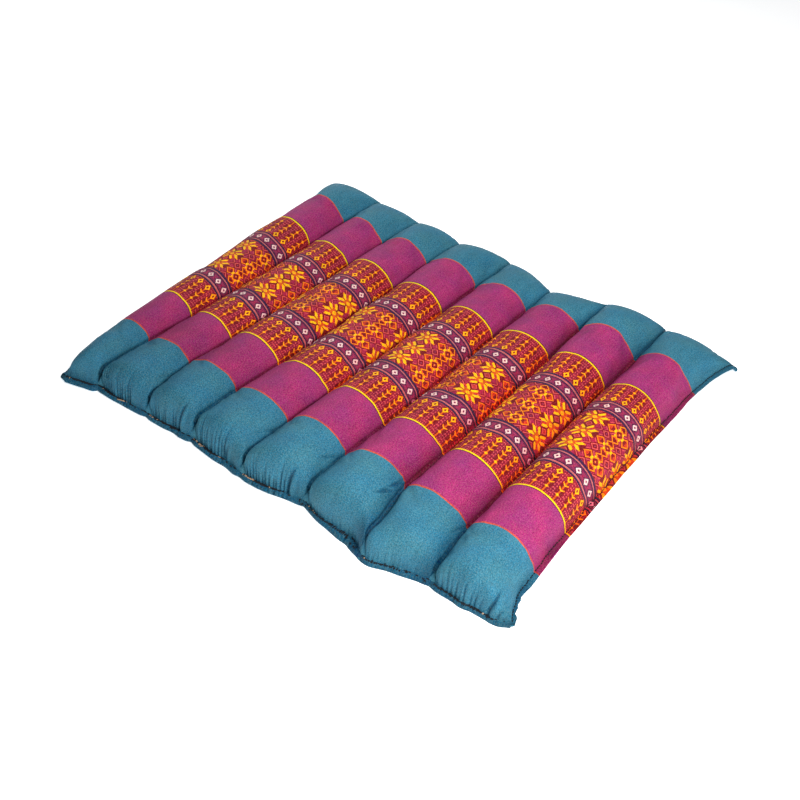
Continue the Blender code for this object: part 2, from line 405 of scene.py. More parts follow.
# Gathers, folds, puckers at the channel stitches and the uneven filling, all in mm along the normal.
def coverRelief(top):
    roll, share = coverColumns()
    inRoll, toRight, widths, fromFront, fromBack = coverLengths(top)
    relief = np.zeros(top.shape[:2])
    height, away, wide = creases["strokeRidge"]
    for number, (first, last, count, reach, depth) in enumerate(gathers):
        mine = (roll == number)[:, None]
        for place in np.linspace(first, last, count) + draws.normal(size=count) * creases["gatherJitter"]:
            here = inRoll - place * widths[number]
            fade = bell(fromFront, reach * draws.uniform(0.65, 1.35))
            deep = depth * draws.uniform(0.7, 1.3)
            relief -= mine * fade * deep * bell(here, creases["gatherWidth"])
        middle = (share - first) / (last - first)
        mound = creases["mound"] * depth * ease(4.0 * middle * (1.0 - middle))[:, None]
        relief += mine * mound * bell(fromFront, reach)
        for place in draws.uniform(0.08, 0.92, creases["backGathers"]):
            here = inRoll - place * widths[number]
            fade = bell(fromBack, draws.uniform(*creases["backReach"]))
            deep = draws.uniform(*creases["backDepth"])
            relief -= mine * fade * deep * bell(here, creases["backWidth"])
    for number, place, leaning, depth, length in folds:
        mine = (roll == number)[:, None]
        here = inRoll - place * widths[number] - leaning * (fromFront / length) ** 2
        relief += mine * foldShape(here, creases["foldWidth"], depth, fromFront, length)
    for number, place, y, turn, depth, length in strokes:
        mine = (roll == number)[:, None]
        cos, sin = math.cos(math.radians(turn)), math.sin(math.radians(turn))
        sideways = inRoll - place * widths[number]
        lengthways = top[..., 1] - y
        line = sideways * cos + lengthways * sin
        off = lengthways * cos - sideways * sin
        relief -= mine * depth * np.exp(-(off / creases["strokeWidth"]) ** 2 - (line / length) ** 2)
        relief += mine * height * depth * np.exp(-((off - away) / wide) ** 2 - (line / length) ** 2)
    nearChannel = np.minimum(inRoll, toRight)
    stitch = 0.5 + 0.5 * np.cos(2.0 * np.pi * top[..., 1] / stitching["channelPitch"])
    fromEnd = np.minimum(fromFront, fromBack)
    begins, lasts, fades = cushion["endGrooveFade"]
    turning = ease((fromEnd + 1.0) / begins) * (1.0 - ease((fromEnd - lasts) / fades))
    relief -= cushion["endGroove"] * turning * channelBand(top, 2.0)
    relief -= cushion["grooveDepth"] * channelBand(top, cushion["grooveReach"])
    relief -= creases["pucker"] * stitch * bell(nearChannel, creases["puckerReach"])
    for (height, *blur, reach), spread in ((creases["lumps"], hugging), (creases["swells"], ease)):
        relief += height * smoothNoise(relief.shape, *blur) * spread(nearChannel / reach)
    return relief * ease((fromFront + 1.0) / 2.5) * ease((fromBack + 1.0) / 2.5)


# Painted shade: how much the cloth is darkened, most in the channels, then in creases and at the ends.
def coverPaintedShade(top, relief):
    right, reach, left, front = paintedShadeOfRolls[coverColumns()[0]].T[..., None]
    fromLeft, fromRight, _, fromFront, fromBack = coverLengths(top)
    right = right * bell(fromRight, reach)
    left = left * bell(fromLeft, paintedShadeRules["leftReach"])
    ends = paintedShadeRules["atEnds"] * bell(np.minimum(fromFront, fromBack), paintedShadeRules["endReach"])
    below = blurGrid(relief[..., None], 5.0, 3.0)[..., 0] - relief
    creased = np.clip(below * paintedShadeRules["inCreases"], 0.0, paintedShadeRules["deepest"])
    start, length = paintedShadeRules["frontThird"]
    front = front * ease((start - top[..., 1]) / length)
    return 1.0 - (1.0 - right) * (1.0 - left) * (1.0 - ends) * (1.0 - creased) * (1.0 - front)


# The cover as real cloth: every third column and second row becomes a sheet held along its channels and
# closing seams and cut a little too large. It settles under the filling's push, and only its wrinkles are
# kept: what it moved less a wide blur of that, capped.
clothRun = {
    "everyColumn": 3,
    "everyRow": 2,
    "frames": 18,
    "blur": (5.0, 3.0),
    "cap": 2.2,
}
clothRule = {
    "quality": 6,
    "mass": 0.15,
    "tension_stiffness": 25.0,
    "compression_stiffness": 12.0,
    "shear_stiffness": 6.0,
    "bending_stiffness": 0.15,
    "air_damping": 3.0,
    "use_pressure": True,
    "uniform_pressure_force": 3.0,
    "vertex_group_mass": "held",
    "pin_stiffness": 1.0,
    "shrink_min": -0.006,  # cut this much too large
}


# Steps a coarse grid up to the full one, straight in between.
def stepUp(field, shape):
    for axis, size in enumerate(shape):
        place = np.linspace(0.0, field.shape[axis] - 1.0, size)
        low = np.minimum(place.astype(int), field.shape[axis] - 2)
        part = (place - low).reshape((-1, 1, 1) if axis == 0 else (1, -1, 1))
        field = np.take(field, low, axis) * (1.0 - part) + np.take(field, low + 1, axis) * part
    return field


def clothWrinkles(top):
    coarse = top[::clothRun["everyColumn"], ::clothRun["everyRow"]]
    numbers = np.arange(coarse[..., 0].size).reshape(coarse.shape[:2])
    sheet = newMesh("settlingCloth", coarse.reshape(-1, 3), gridQuads(numbers))
    across = cushion["columnsPerRoll"] // clothRun["everyColumn"]
    held = np.zeros(coarse.shape[:2], bool)
    held[::across] = True
    held[:, (0, -1)] = True
    sheet.vertex_groups.new(name="held").add(numbers[held].tolist(), 1.0, "REPLACE")
    settling = sheet.modifiers.new("settling", "CLOTH")
    for key, value in clothRule.items():
        setattr(settling.settings, key, value)
    settling.settings.effector_weights.gravity = 0.0
    settling.collision_settings.use_collision = False
    for number in range(1, clothRun["frames"] + 1):
        bpy.context.scene.frame_set(number)
    settled = sheet.evaluated_get(bpy.context.evaluated_depsgraph_get()).to_mesh()
    flat = np.empty(coarse.size, np.float32)
    settled.vertices.foreach_get("co", flat)
    moved = flat.reshape(coarse.shape) / mm - coarse
    bpy.context.scene.frame_set(1)
    bpy.data.objects.remove(sheet)
    print("cloth settled, largest move", round(float(np.linalg.norm(moved, axis=-1).max()), 1), "mm")
    wrinkles = moved - blurGrid(moved, *clothRun["blur"])
    size = np.linalg.norm(wrinkles, axis=-1, keepdims=True)
    print("wrinkles, largest:", round(float(size.max()), 2), "mm")
    wrinkles = wrinkles * np.tanh(size / clothRun["cap"]) * clothRun["cap"] / np.maximum(size, 1e-6)
    return blurGrid(stepUp(wrinkles, top.shape[:2]), 1.2, 0.8)


# Outward directions in plan along one edge of a grid, square to the edge.
def edgeOutward(line, sign):
    heading = np.gradient(line[:, :2], axis=0)
    out = np.stack([heading[:, 1], -heading[:, 0]], axis=-1) * sign
    return out / np.linalg.norm(out, axis=-1, keepdims=True)


# Adds the hem round a cover: each ring lies a share of the hem's width outside the closing seam. Two
# columns and rows meet at a corner, where both offsets add up and are then drawn in to a round corner.
def withHem(points, ringHeights, waves):
    rings, count = np.array(hem["rings"]), ringCount
    out = np.pad(points, ((count, count), (count, count), (0, 0)), mode="edge")
    edges = ((points[:, 0], 1.0), (points[:, -1], -1.0), (points[0], -1.0), (points[-1], 1.0))
    for number, ((line, sign), (width, lift)) in enumerate(zip(edges, waves)):
        grid = out if number < 2 else out.transpose(1, 0, 2)
        wide = np.pad(width, count, mode="edge")
        away = np.pad(edgeOutward(line, sign), ((count, count), (0, 0)), mode="edge")
        for ring, part in enumerate(rings):
            at = count - 1 - ring if number % 2 == 0 else -count + ring
            grid[:, at, :2] += away * (wide * part)[:, None]
            grid[count:-count, at, 2] += ringHeights[ring] + lift * part ** 2
    a, b = np.meshgrid(rings, rings, indexing="ij")
    shorter = np.maximum(a, b) / np.hypot(a, b) - 1.0
    outer = np.maximum.outer(np.arange(count), np.arange(count))
    for lift, (last, back) in zip(hem["cornerLift"], ((0, 0), (1, 0), (0, 1), (1, 1))):
        corner = out[::1 if last else -1, ::1 if back else -1][-count:, -count:]
        corner[..., :2] += (corner[..., :2] - points[-last, -back, :2]) * shorter[..., None]
        corner[..., 2] += ringHeights[outer] + lift
    return out


stitching = {
    "channelPitch": 4.2,
    "channelLength": 2.5,
    "channelRadius": 0.32,
    "hemPitch": 3.0,
    "hemLength": 2.5,
    "hemRadius": 0.56,
    "overcastPitch": 1.3,
    "overcastRadius": 0.76,
    "jitter": 0.25,
    "lift": 0.55,  # of a stitch's arch above the cloth
    "thread": (18, 24, 30),
    "channelThread": (46, 16, 32),
    "paleThread": (206, 172, 140),
    "dustAndShade": (76, 78, 84),
}
# Heavier overcast stitches over the front lip: roll, first and last place across it, and what share of
# them is pale in the first part of each run.
overcasts = (
    (0, 0.02, 0.95, 0.05),
    (1, 0.04, 0.62, 0.08),
    (2, 0.03, 0.7, 0.2),
    (3, 0.03, 0.66, 0.7),
    (4, 0.04, 0.62, 0.75),
    (5, 0.05, 0.72, 0.1),
    (6, 0.04, 0.6, 0.1),
    (7, 0.05, 0.8, 0.05),
)


# Width and lift of the hem along its four sides: slow seeded waves, narrower where a channel ends, and a
# curled, rippled stretch at the front right corner.
def hemWaves(points):
    columns, rows = points.shape[:2]
    roll, share = coverColumns()
    slow = smoothNoise((columns, 4), 14.0, 0.0)[:, :2]
    sideSlow = smoothNoise((rows, 4), 3.0, 0.0)[:, :2]
    tuck = bell(np.minimum(share, 1.0 - share), hem["tuckReach"])
    curlY, curlLength, rippleLength = hem["curl"]
    curl = bell(points[-1, :, 1] - curlY, curlLength)
    ripple = np.sin(2.0 * np.pi * points[-1, :, 1] / rippleLength)
    front = np.interp(roll + share, hem["frontPlaces"], hem["frontWidths"])
    drop = np.interp(roll + share, np.arange(len(rolls)) + 0.5, hem["frontDrops"])
    width, wave, sideWave = hem["width"], hem["endWave"], hem["sideWave"]
    (frontLift, backLift), sideLift = hem["endLift"], hem["sideLift"]
    frontTuck, backTuck = hem["endTuck"]
    (narrow, narrowRipple), (lift, liftRipple) = hem["curlNarrow"], hem["curlLift"]
    narrowed = curl * (narrowRipple * ripple - narrow)
    lifted = curl * (lift + liftRipple * ripple)
    return (
        (front * (1.0 + wave * slow[:, 0] - frontTuck * tuck), frontLift * slow[:, 1] - drop),
        (width * (1.0 + wave * slow[:, 1] - backTuck * tuck), backLift * slow[:, 0] - hem["backDrop"]),
        (width * (1.0 + sideWave * sideSlow[:, 0]), sideLift * sideSlow[:, 1]),
        (width * (1.0 + sideWave * sideSlow[:, 1] + narrowed), sideLift * sideSlow[:, 0] + lifted),
    )


# Quads of a grid of vertex numbers, as one array.
def gridQuads(numbers):
    a, b = numbers[:-1, :-1], numbers[1:, :-1]
    c, d = numbers[1:, 1:], numbers[:-1, 1:]
    return np.stack([a, b, c, d], axis=-1).reshape(-1, 4)


# Vertex numbers round the edge of a grid, anticlockwise seen from above, as a closed loop.
def rimOf(numbers):
    loop = [numbers[:, 0], numbers[-1, 1:], numbers[-2::-1, -1], numbers[0, -2::-1]]
    return np.concatenate(loop)


# Where the cloth's pattern lies: running length across it, each roll's first star on that length, and the
# length along the cloth from the middle of the pattern.
def clothPlaces(top):
    roll, share = coverColumns()
    middleRow = int(np.argmin(np.abs(top[0, :, 1] - cushion["patternMiddle"])))
    across = runningLength(top, 0)[:, middleRow]
    fromFront = runningLength(top, 1)
    alongCloth = fromFront - fromFront[:, middleRow:middleRow + 1] + (
        top[:, middleRow:middleRow + 1, 1] - cushion["patternMiddle"])
    starts = across[np.arange(len(rolls)) * cushion["columnsPerRoll"]]
    origin = starts + firstStar
    moved, leaning = (np.stack([np.interp(y, lineY, table[k]) for y, k in zip(top[..., 1], roll)])
                      for table in (drift, lean))
    alongCloth = alongCloth - moved - leaning * (np.clip(share, 0.25, 1.0)[:, None] - 0.65)
    return across, origin[roll[:-1]], alongCloth


def padLine(line, steps):
    return np.concatenate([line[0] - steps[::-1], line, line[-1] + steps])


# UV of the corners of a grid's faces. A face lies on one roll, so both its sides count from its star.
def faceUv(u, v, offset):
    shape = (len(offset), v.shape[1] - 1)
    left, right = (np.broadcast_to((side - offset)[:, None], shape) for side in (u[:-1], u[1:]))
    corners = ((left, v[:-1, :-1]), (right, v[1:, :-1]), (right, v[1:, 1:]), (left, v[:-1, 1:]))
    return np.stack([np.stack(pair, axis=-1) for pair in corners], axis=2).reshape(-1, 4, 2)


# One closed mesh: the crowned top at full density, the underside at half, joined round the hem's edge.
def buildCover(top, bottom, places):
    across, origin, alongCloth = places
    waves = hemWaves(top)
    upper = withHem(top, np.array(hem["rise"]), waves)
    lower = withHem(bottom, np.array(hem["under"]), waves)[::2, ::2]
    lower[..., 2] = np.maximum(lower[..., 2], 0.0)
    points = np.concatenate([upper.reshape(-1, 3), lower.reshape(-1, 3)])
    upperNumbers = np.arange(upper[..., 0].size).reshape(upper.shape[:2])
    lowerNumbers = upper[..., 0].size + np.arange(lower[..., 0].size).reshape(lower.shape[:2])
    quads = np.concatenate([gridQuads(upperNumbers), gridQuads(lowerNumbers)[:, ::-1]])

    rimUpper, rimLower = rimOf(upperNumbers), rimOf(lowerNumbers)
    first, second, third = rimUpper[0:-1:2], rimUpper[1::2], rimUpper[2::2]
    low, lowAfter = rimLower[:-1], rimLower[1:]
    fans = np.concatenate([
        np.stack([first, low, second], axis=-1),
        np.stack([second, low, lowAfter], axis=-1),
        np.stack([second, lowAfter, third], axis=-1),
    ])

    steps = np.array(hem["rings"]) * hem["width"]
    u = padLine(across, steps)
    offset = np.pad(origin, ringCount, mode="edge")
    v = np.stack([padLine(line, steps) for line in alongCloth])
    v = np.pad(v, ((ringCount, ringCount), (0, 0)), mode="edge")
    uGrid = np.broadcast_to((u - np.append(offset, offset[-1]))[:, None], v.shape)
    flat = np.stack([uGrid, v], axis=-1)
    flatAll = np.concatenate([flat.reshape(-1, 2), flat[::2, ::2].reshape(-1, 2)])
    uv = np.concatenate([
        faceUv(u, v, offset).reshape(-1, 2),
        faceUv(u[::2], v[::2, ::2], offset[::2])[:, ::-1].reshape(-1, 2),
        flatAll[fans].reshape(-1, 2),
    ])
    return points, quads, fans, uv, upper


def newMesh(name, points, quads, triangles=None):
    mesh = bpy.data.meshes.new(name)
    triangles = np.zeros((0, 3), int) if triangles is None else triangles
    mesh.vertices.add(len(points))
    mesh.vertices.foreach_set("co", (points * mm).astype(np.float32).ravel())
    corners = np.concatenate([quads.ravel(), triangles.ravel()])
    mesh.loops.add(len(corners))
    mesh.loops.foreach_set("vertex_index", corners.astype(np.int32))
    starts = np.concatenate([np.arange(len(quads)) * 4, quads.size + np.arange(len(triangles)) * 3])
    mesh.polygons.add(len(quads) + len(triangles))
    mesh.polygons.foreach_set("loop_start", starts.astype(np.int32))
    mesh.update(calc_edges=True)
    mesh.shade_smooth()
    piece = bpy.data.objects.new(name, mesh)
    bpy.context.scene.collection.objects.link(piece)
    return piece


# Stitches: each is a short tube along an arch from one point to another, five rings of six sides, thinner
# at both ends, worked out for all stitches at once.
def stitchTubes(name, starts, ends, radius):
    t = np.linspace(0.0, 1.0, 5)
    a = np.linspace(0.0, 2.0 * np.pi, 7)[:-1]
    up = np.array((0.0, 0.0, 1.0)) * np.ones_like(starts)
    direction = ends - starts
    direction /= np.linalg.norm(direction, axis=-1, keepdims=True)
    side = np.cross(direction, up)
    side /= np.maximum(np.linalg.norm(side, axis=-1, keepdims=True), 1e-9)
    normal = np.cross(side, direction)
    line = starts[:, None] * (1.0 - t)[:, None] + ends[:, None] * t[:, None]
    line = line + normal[:, None] * (stitching["lift"] * (4.0 * t * (1.0 - t) - 0.45))[:, None]
    thin = np.broadcast_to(radius, len(starts))[:, None] * (0.45 + 0.55 * np.sqrt(4.0 * t * (1.0 - t)))
    ring = side[:, None, None] * np.cos(a)[:, None] + normal[:, None, None] * np.sin(a)[:, None]
    points = line[:, :, None] + ring * thin[:, :, None, None]
    numbers = np.arange(points[..., 0].size).reshape(points.shape[:3])
    following = np.roll(numbers, -1, axis=2)
    quads = np.stack([numbers[:, :-1], numbers[:, 1:], following[:, 1:], following[:, :-1]], axis=-1)
    caps = np.concatenate([
        numbers[:, 0][:, (0, 1, 2, 3)], numbers[:, 0][:, (0, 3, 4, 5)],
        numbers[:, -1][:, (3, 2, 1, 0)], numbers[:, -1][:, (5, 4, 3, 0)],
    ])
    return newMesh(name, points.reshape(-1, 3), np.concatenate([quads.reshape(-1, 4), caps]))


# Points at given running lengths along a line.
def pointsAt(line, lengths):
    running = runningLength(line, 0)
    return np.stack([np.interp(lengths, running, line[:, n]) for n in range(3)], axis=-1)


# The lip's lines along its four sides, at one ring, as points in order.
def hemLines(upper, ring):
    at, span = ringCount - 1 - ring, slice(ringCount, -ringCount)
    return upper[span, at], upper[span, -1 - at], upper[at, span], upper[-1 - at, span]


# Running stitches all round the lip: each lies along the lip's inner line, a little slanted.
def hemStitches(upper):
    starts, ends = [], []
    for inner, outer in zip(hemLines(upper, 0), hemLines(upper, 2)):
        at = np.arange(2.0, runningLength(inner, 0)[-1] - 4.0, stitching["hemPitch"])
        at = at + draws.normal(size=len(at)) * stitching["jitter"]
        slant = draws.uniform(0.0, 0.35, len(at))[:, None]
        starts.append(pointsAt(inner, at) * (1.0 - slant) + pointsAt(outer, at) * slant)
        on = at + stitching["hemLength"] * draws.uniform(0.85, 1.15, len(at))
        ends.append(pointsAt(inner, on) * (1.0 - slant) + pointsAt(outer, on) * slant)
    return np.concatenate(starts), np.concatenate(ends)


# Overcast stitches at the front: each goes slanting over the lip from its inner line to near its edge.
def overcastStitches(upper):
    inner, outer = hemLines(upper, 0)[0], hemLines(upper, 4)[0]
    columns = np.arange(len(inner))
    starts, ends, pale = [], [], []
    for roll, first, last, share in overcasts:
        begin, end = ((roll + place) * cushion["columnsPerRoll"] for place in (first, last))
        here = (columns >= begin) & (columns <= end)
        lineIn, lineOut = inner[here], outer[here]
        at = np.arange(0.5, runningLength(lineIn, 0)[-1] - 2.0, stitching["overcastPitch"])
        at = at + draws.normal(size=len(at)) * stitching["jitter"]
        reach = draws.uniform(0.35, 0.60, len(at))[:, None]
        begun = pointsAt(lineIn, at)
        outside = pointsAt(lineOut, at + draws.uniform(0.6, 1.2, len(at)))
        starts.append(begun)
        ends.append(begun * (1.0 - reach) + outside * reach)
        pale.append(draws.uniform(size=len(at)) < np.where(at < 0.42 * at[-1], share, 0.03))
    return np.concatenate(starts), np.concatenate(ends), np.concatenate(pale)


# Running stitches along the bottom of every channel.
def channelStitches(upper):
    starts, ends = [], []
    for number in range(1, len(rolls)):
        line = upper[ringCount + number * cushion["columnsPerRoll"], ringCount:-ringCount]
        at = np.arange(6.0, runningLength(line, 0)[-1] - 8.0, stitching["channelPitch"])
        starts.append(pointsAt(line, at))
        ends.append(pointsAt(line, at + stitching["channelLength"]))
    return np.concatenate(starts), np.concatenate(ends)


# Materials. Small helpers that add a node and link what it reads.
def startMaterial(name):
    material = bpy.data.materials.new(name)
    material.use_nodes = True
    tree = material.node_tree
    return material, tree, tree.nodes["Principled BSDF"]


def setInputs(tree, node, inputs):
    for key, value in inputs.items():
        if isinstance(value, bpy.types.NodeSocket):
            tree.links.new(value, node.inputs[key])
        else:
            node.inputs[key].default_value = value


def addNode(tree, kind, inputs=None, **settings):
    made = tree.nodes.new("ShaderNode" + kind)
    for key, value in settings.items():
        setattr(made, key, value)
    setInputs(tree, made, inputs or {})
    return made


def calc(tree, operation, a, b=0.0, c=0.0):
    return addNode(tree, "Math", {0: a, 1: b, 2: c}, operation=operation).outputs[0]


def vectorCalc(tree, operation, a, b=(0.0, 0.0, 0.0)):
    return addNode(tree, "VectorMath", {0: a, 1: b}, operation=operation).outputs[0]


def combine(tree, x, y, z=0.0):
    return addNode(tree, "CombineXYZ", {0: x, 1: y, 2: z}).outputs[0]


def times(tree, a, b):
    return calc(tree, "MULTIPLY", a, b)


def distanceFrom(tree, value, middle):
    return calc(tree, "ABSOLUTE", calc(tree, "SUBTRACT", value, middle))


# Sine that repeats over a length.
def sineOf(tree, value, length):
    return calc(tree, "SINE", times(tree, value, 2.0 * math.pi / length))


def blendColours(tree, share, a, b, blend="MIX"):
    made = addNode(tree, "Mix", {0: share, 6: a, 7: b}, data_type="RGBA", blend_type=blend)
    return made.outputs[2]


def toLinear(colour):
    c = np.array(colour, float) / 255.0
    return (*np.where(c <= 0.04045, c / 12.92, ((c + 0.055) / 1.055) ** 2.4).tolist(), 1.0)


# The woven cloth, counted in stitches of two threads (their size is in mm), and its yarns in daylight.
cloth = {
    "stitchAcross": 0.953,
    "stitchAlong": 0.9375,
    "starRepeat": 60.0,
    "rowRepeat": 24.0,
    "stalkRepeat": 12.0,
    "centreEdge": 36.2,
    "borderEdge": 58.2,
    "stalkEdge": 94.9,
    "yellowEdge": 96.8,
    "fringeEdge": 97.8,
    "magentaEdge": 159.3,
    "tealEdge": 161.1,
    "threads": 0.24,  # how much one thread's shade differs from the next
    "flecks": 0.42,
    "mottling": 0.15,
    "pale": 0.17,  # undyed fibre between the threads: how far it lightens and darkens
    # What full painted shade leaves of the colour of the patterned, the magenta and the teal cloth.
    "patternShadeTint": (0.75, 0.03, 0.20, 1.0),
    "warmShadeTint": (0.30, 0.05, 0.12, 1.0),
    "tealShadeTint": (0.04, 0.27, 0.38, 1.0),
    # The cloth's colour drifts slowly between these two casts.
    "castScale": 40.0,
    "coolCast": (0.60, 0.92, 1.12, 1.0),
    "warmCast": (1.45, 1.08, 0.88, 1.0),
    "stalkTop": 94.0,
    "borderTop": 58.0,
    "wave": 7.0,  # of the salmon lines beside the stalks
    "waveLines": ((2.6, 3.3), (4.5, 5.4)),
    "weaveHeight": 0.12,
    "weaveStrength": 0.35,
    "rough": (0.15, 0.62),
    "specular": 0.16,
}
yarns = {
    "ground": (160, 37, 68),
    "wine": (138, 19, 50),
    "darkRed": (122, 11, 29),
    "brick": (168, 47, 42),
    "rust": (198, 59, 32),
    "orange": (208, 88, 22),
    "gold": (252, 136, 14),
    "yellow": (255, 190, 8),
    "salmon": (212, 82, 82),
    "peach": (248, 164, 84),
    "navy": (60, 30, 65),
    "plum": (122, 34, 71),
    "rose": (146, 48, 84),
    "dustyPink": (192, 98, 98),
    "white": (242, 200, 192),
    "line": (248, 208, 20),
    "fringe": (44, 22, 34),
    "orangeRed": (196, 82, 68),
    "magenta": (158, 51, 109),
    "teal": (58, 121, 144),
}
# Motifs of the cloth: yarn, middle column, middle row, then bands. A row paints its yarn where every band
# (a, b, low, high) holds: low < a |column - middle column| + b |row - middle row| < high, in stitches.
centreMotifs = (
    ("darkRed", 0, 0, (1, -1, 0.4, 4.6), (0, 1, 5.5, 13), (1, 0, 0, 16.5)),
    ("salmon", 0, 0, (1, -1, 1.8, 3.1), (0, 1, 6, 13), (1, 0, 0, 16)),
    ("darkRed", 20, 12, (1, 1, 1.2, 6.2)),
    ("salmon", 20, 12, (1, 1, 3.5, 4.9)),
    ("rose", 20, 12, (1, 1, -1, 1.3)),
    ("salmon", 20.1, 0, (1, 1, 8.2, 9.2), (0, 1, 2.4, 7)),
    ("darkRed", 20.1, 0, (1, 1, 5.9, 7.4)),
    ("darkRed", 30, 7.6, (1, 1, 5.4, 7.0)),
    ("darkRed", 0, 0, (1, 0, 9, 14.5), (0, 1, -1, 4.2), (1, -1.2, 7.5, 15)),
    ("rust", 0, 0, (1, -1, -1.9, 1.9), (1, 1, 10, 16.2)),
    ("orange", 0, 0, (1, 1, -1, 9.4), (1, 0, -1, 7.2), (0, 1, -1, 6.0)),
    ("darkRed", 0, 0, (-1.03, 1, 1.3, 5.7), (1, 0, 0.4, 7.4), (0, 1, 3.6, 11.6)),
    ("darkRed", 0, 0, (1, -1.0, 3.6, 8.5), (0, 1, 0.3, 6.0), (1, 0, 5.4, 14.2)),
    ("darkRed", 0, 0, (-1.03, 1, 4.9, 14), (0, 1, 3.6, 13), (1, 0, -1, 5)),
    ("darkRed", 0, 12, (1, 1, 3.9, 5.4)),
    ("salmon", 0, 12, (1, 1, 2.9, 3.9)),
    ("brick", 0, 12, (1, 1, -1, 2.7)),
    ("darkRed", 0, 0, (1, 0, -1, 0.7), (0, 1, 3.4, 8.4)),
    ("rust", 0, 0, (1, 0, 6.4, 9.2), (0, 1, -1, 0.7)),
    ("darkRed", 0, 0, (1, 0, 9.2, 14), (0, 1, -1, 0.9)),
    ("yellow", 0, 0, (-1.03, 1, 1.2, 5.1), (1, 0, 0.9, 6.6), (0, 1, 4.1, 10.4)),
    ("gold", 0, 0, (-1.03, 1, 1.2, 5.1), (1, 0, 4.4, 6.9), (0, 1, 9.9, 11.0)),
    ("yellow", 0, 0, (1, -1.0, 3.3, 7.8), (0, 1, 0.7, 5.6), (1, 0, 5.0, 12.3)),
    ("gold", 0, 0, (1, -1.0, 5.6, 8.0), (0, 1, 4.0, 6.1), (1, 0, 11.4, 13.4)),
    ("yellow", 0, 0, (1, 1, -1, 2.6)),
    ("orange", 0, 0, (1, 1, -1, 0.6)),
    ("rust", 20.1, 0, (1, 1, -1, 5.0)),
    ("darkRed", 22.2, 0, (1, 1, -1, 2.6)),
    ("darkRed", 21.8, 0, (1, -0.7, -1, 0.8), (0, 1, 0.4, 2.8)),
    ("gold", 20.1, 0, (1, 1, 4.4, 6.0)),
    ("darkRed", 30, 7.6, (1, 1, -1, 4.3)),
    ("rust", 30, 7.0, (1, 1, -1, 3.2)),
    ("gold", 30, 7.6, (1, 1, 4.0, 5.6)),
    ("darkRed", 30, 8.0, (1, 1, -1, 2.1)),
    ("gold", 30, 0, (1, 1, 4.6, 6.5)),
    ("darkRed", 30, 0, (1, 1, 1.7, 4.7)),
    ("rust", 30, 0, (1, 1, 0.9, 1.7)),
    ("peach", 30, 0, (1, 1, -1, 0.9)),
    ("yellow", 24.6, 0, (1, 0.6, -1, 1.6)),
    ("yellow", 26.9, 4.2, (1, 1, -1, 1.3)),
)
# Rows are counted from the yellow line inwards, columns from a stalk.
stalkMotifs = (
    ("darkRed", 0, 0, (1, 0, -1, 1.5), (0, 1, -1, 27)),
    ("darkRed", 0, 31.0, (1.3, 1, -1, 6.3)),
    ("darkRed", 0, 17, (1, 0, -1, 3.6), (0, 1, -1, 8.6)),
    ("orange", 0, 0, (1, 0, -1, 0.6), (0, 1, -1, 30)),
    ("gold", 0, 8.0, (1, 1, -1, 2.1)),
    ("yellow", 0, 8.0, (1, 1, -1, 1.1)),
    ("orange", 0, 37, (2, 1, -1, 4)),
    ("gold", 0, 0, (-0.75, 1, 13.3, 15.1), (1, 0, -1, 3.1)),
    ("yellow", 0, 0, (-0.75, 1, 13.6, 14.6), (1, 0, -1, 1.6)),
    ("gold", 0, 0, (-0.75, 1, 20.6, 22.4), (1, 0, -1, 3.1)),
    ("yellow", 0, 0, (-0.75, 1, 20.9, 21.9), (1, 0, -1, 1.6)),
    ("gold", 0, 31.0, (1.28, 1, -1, 4.5)),
    ("yellow", 0, 31.0, (1.28, 1, 2.2, 3.8)),
    ("darkRed", 0, 31.0, (1.28, 1, -1, 1.7)),
)
# Rows are counted from the stalks inwards, columns from a white diamond.
borderMotifs = (
    ("dustyPink", 0, 0, (0, 1, 2.4, 4.3)),
    ("plum", 0, 0, (0, 1, 5.9, 15.6)),
    ("rose", 6, 10.7, (1, -0.5, -9, 0.9), (0, 1, -1, 3.6)),
    ("ground", 6, 10.7, (1, 1, -1, 1.2)),
    ("dustyPink", 0, 0, (0, 1, 17.1, 19.0)),
    ("navy", 0, 10.7, (1.2, 1, 4.3, 5.4), (0, 1, -1, 4.6)),
    ("white", 0, 10.7, (1.2, 1, -1, 4.2)),
    ("plum", 0, 10.7, (1, 1, -1, 1.4)),
)


def yarn(name):
    return toLinear(yarns[name])


# 1 where low < value < high.
def inside(tree, value, low, high):
    return calc(tree, "COMPARE", value, (low + high) / 2.0, (high - low) / 2.0)


def paintMotifs(tree, colour, motifs, column, row):
    for name, middleColumn, middleRow, *bands in motifs:
        dx = distanceFrom(tree, column, float(middleColumn))
        dy = distanceFrom(tree, row, float(middleRow))
        mask = 1.0
        for a, b, low, high in bands:
            reach = calc(tree, "MULTIPLY_ADD", dx, float(a), times(tree, dy, float(b)))
            mask = times(tree, inside(tree, reach, low, high), mask)
        colour = blendColours(tree, mask, colour, yarn(name))
    return colour


# Distance to the nearest repeat's middle thread: |((n + half) mod repeat) - half|.
def foldThread(tree, thread, repeat):
    moved = calc(tree, "FLOORED_MODULO", calc(tree, "ADD", thread, repeat / 2.0), repeat)
    return distanceFrom(tree, moved, repeat / 2.0)


# Nearest thread, two threads to a stitch.
def snap(tree, value):
    return times(tree, calc(tree, "ROUND", times(tree, value, 2.0)), 0.5)


def noiseAt(tree, places, scale, detail=2.0, stretch=(1.0, 1.0, 1.0)):
    moved = addNode(tree, "Mapping", {0: places, 3: stretch}).outputs[0]
    return addNode(tree, "TexNoise", {"Vector": moved, "Scale": scale, "Detail": detail}).outputs[0]


